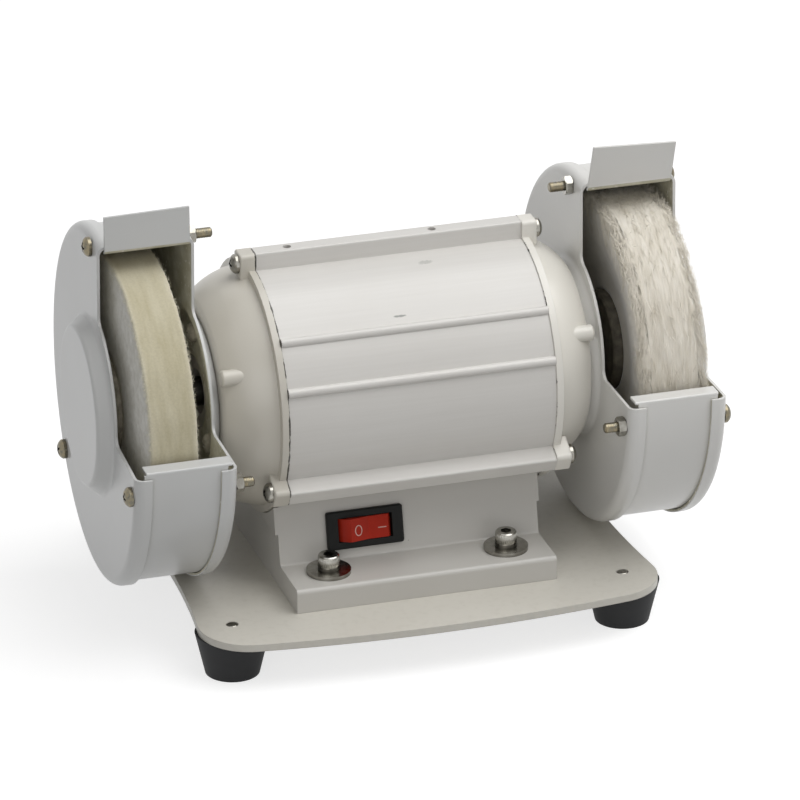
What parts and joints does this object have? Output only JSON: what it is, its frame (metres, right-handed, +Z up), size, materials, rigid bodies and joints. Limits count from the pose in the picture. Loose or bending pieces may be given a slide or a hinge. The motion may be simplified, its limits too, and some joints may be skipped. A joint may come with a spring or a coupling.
{
  "type": "lens polishing machine",
  "caption": "Double-ended bench polisher: a small motor on a pedestal turns a felt wheel and a cotton buff in open-fronted sheet guards, with a rocker switch and rubber feet.",
  "frame": {"origin": "on the floor, below the middle of the spindle, at the centre of the base plate", "axes": "+X along the spindle to the right as seen by the user, +Y to the rear, +Z up"},
  "size_m": [0.2555, 0.18, 0.1849],
  "materials": {
    "housing_enamel": "warm white gloss enamel",
    "guard_enamel": "cool white gloss enamel",
    "plate_enamel": "beige-grey enamel",
    "foot_rubber": "moulded, matt",
    "bright_zinc": "bright zinc plate",
    "yellow_zinc": "yellow passivated zinc",
    "ground_steel": "ground",
    "core_steel": "stacked laminations",
    "copper_wire": "varnished copper winding",
    "cast_aluminium": "as cast",
    "black_plastic": "moulded",
    "red_plastic": "moulded",
    "grey_plastic": "moulded",
    "lead_sleeve": "varnished glass braid",
    "wool_felt": "pressed felt",
    "cotton_cloth": "loose cotton plies with a frayed rim"
  },
  "bodies": {
    "frame": {"pedestal": "housing_enamel", "motor_housing": "housing_enamel", "left_end_bell": "housing_enamel", "right_end_bell": "housing_enamel", "left_guard_cover": "guard_enamel", "left_guard_pan": "guard_enamel", "left_guard_band": "guard_enamel", "right_guard_cover": "guard_enamel", "right_guard_pan": "guard_enamel", "right_guard_band": "guard_enamel", "base_plate": "plate_enamel", "foot_front_left": "foot_rubber", "foot_front_right": "foot_rubber", "foot_rear_left": "foot_rubber", "foot_rear_right": "foot_rubber", "gland_seal": "foot_rubber", "foot_washers": "bright_zinc", "foot_screws": "bright_zinc", "pedestal_flat_washers": "bright_zinc", "pedestal_spring_washers": "bright_zinc", "pedestal_cap_screws": "bright_zinc", "pedestal_nuts": "bright_zinc", "saddle_screws": "bright_zinc", "plate_screws": "bright_zinc", "end_bell_screws": "bright_zinc", "guard_screws": "bright_zinc", "terminal_screws": "bright_zinc", "switch_terminals": "bright_zinc", "guard_nuts": "bright_zinc", "guard_bolts": "yellow_zinc", "preload_washer": "ground_steel", "left_bearing_outer_ring": "ground_steel", "right_bearing_outer_ring": "ground_steel", "stator_core": "core_steel", "stator_windings": "copper_wire", "switch_body": "black_plastic", "gland_sleeve": "black_plastic", "gland_cap": "black_plastic", "gland_lock_nut": "black_plastic", "run_capacitor": "grey_plastic", "terminal_block": "grey_plastic", "motor_leads": "lead_sleeve"},
    "spindle_assembly": {"spindle": "ground_steel", "rotor_core": "core_steel", "rotor_cage": "cast_aluminium", "felt_wheel": "wool_felt", "cotton_buff": "cotton_cloth", "left_bearing_inner_ring": "ground_steel", "left_inner_flange": "ground_steel", "left_outer_flange": "ground_steel", "left_spindle_nut": "ground_steel", "right_bearing_inner_ring": "ground_steel", "right_inner_flange": "ground_steel", "right_outer_flange": "ground_steel", "right_spindle_nut": "ground_steel"},
    "left_ball_set": {"left_bearing_balls": "ground_steel", "left_bearing_cage": "ground_steel"},
    "right_ball_set": {"right_bearing_balls": "ground_steel", "right_bearing_cage": "ground_steel"},
    "rocker": {"switch_rocker": "red_plastic"}
  },
  "joints": [
    {"name": "spindle_spin", "type": "hinge", "parent": "frame", "child": "spindle_assembly", "pos_m": [0, 0, 0.094], "axis": [1, 0, 0], "continuous": true},
    {"name": "left_cage_spin", "type": "hinge", "parent": "frame", "child": "left_ball_set", "pos_m": [-0.065, 0, 0.094], "axis": [1, 0, 0], "continuous": true},
    {"name": "right_cage_spin", "type": "hinge", "parent": "frame", "child": "right_ball_set", "pos_m": [0.065, 0, 0.094], "axis": [1, 0, 0], "continuous": true},
    {"name": "rocker_tip", "type": "hinge", "parent": "frame", "child": "rocker", "pos_m": [-0.0185, -0.03122, 0.04072], "axis": [0, 0.2351, 0.972], "range_deg": [-18, 0]}
  ],
  "couplings": [
    {"joint": "left_cage_spin", "follows": "spindle_spin", "ratio": 0.3682},
    {"joint": "right_cage_spin", "follows": "spindle_spin", "ratio": 0.3682}
  ]
}
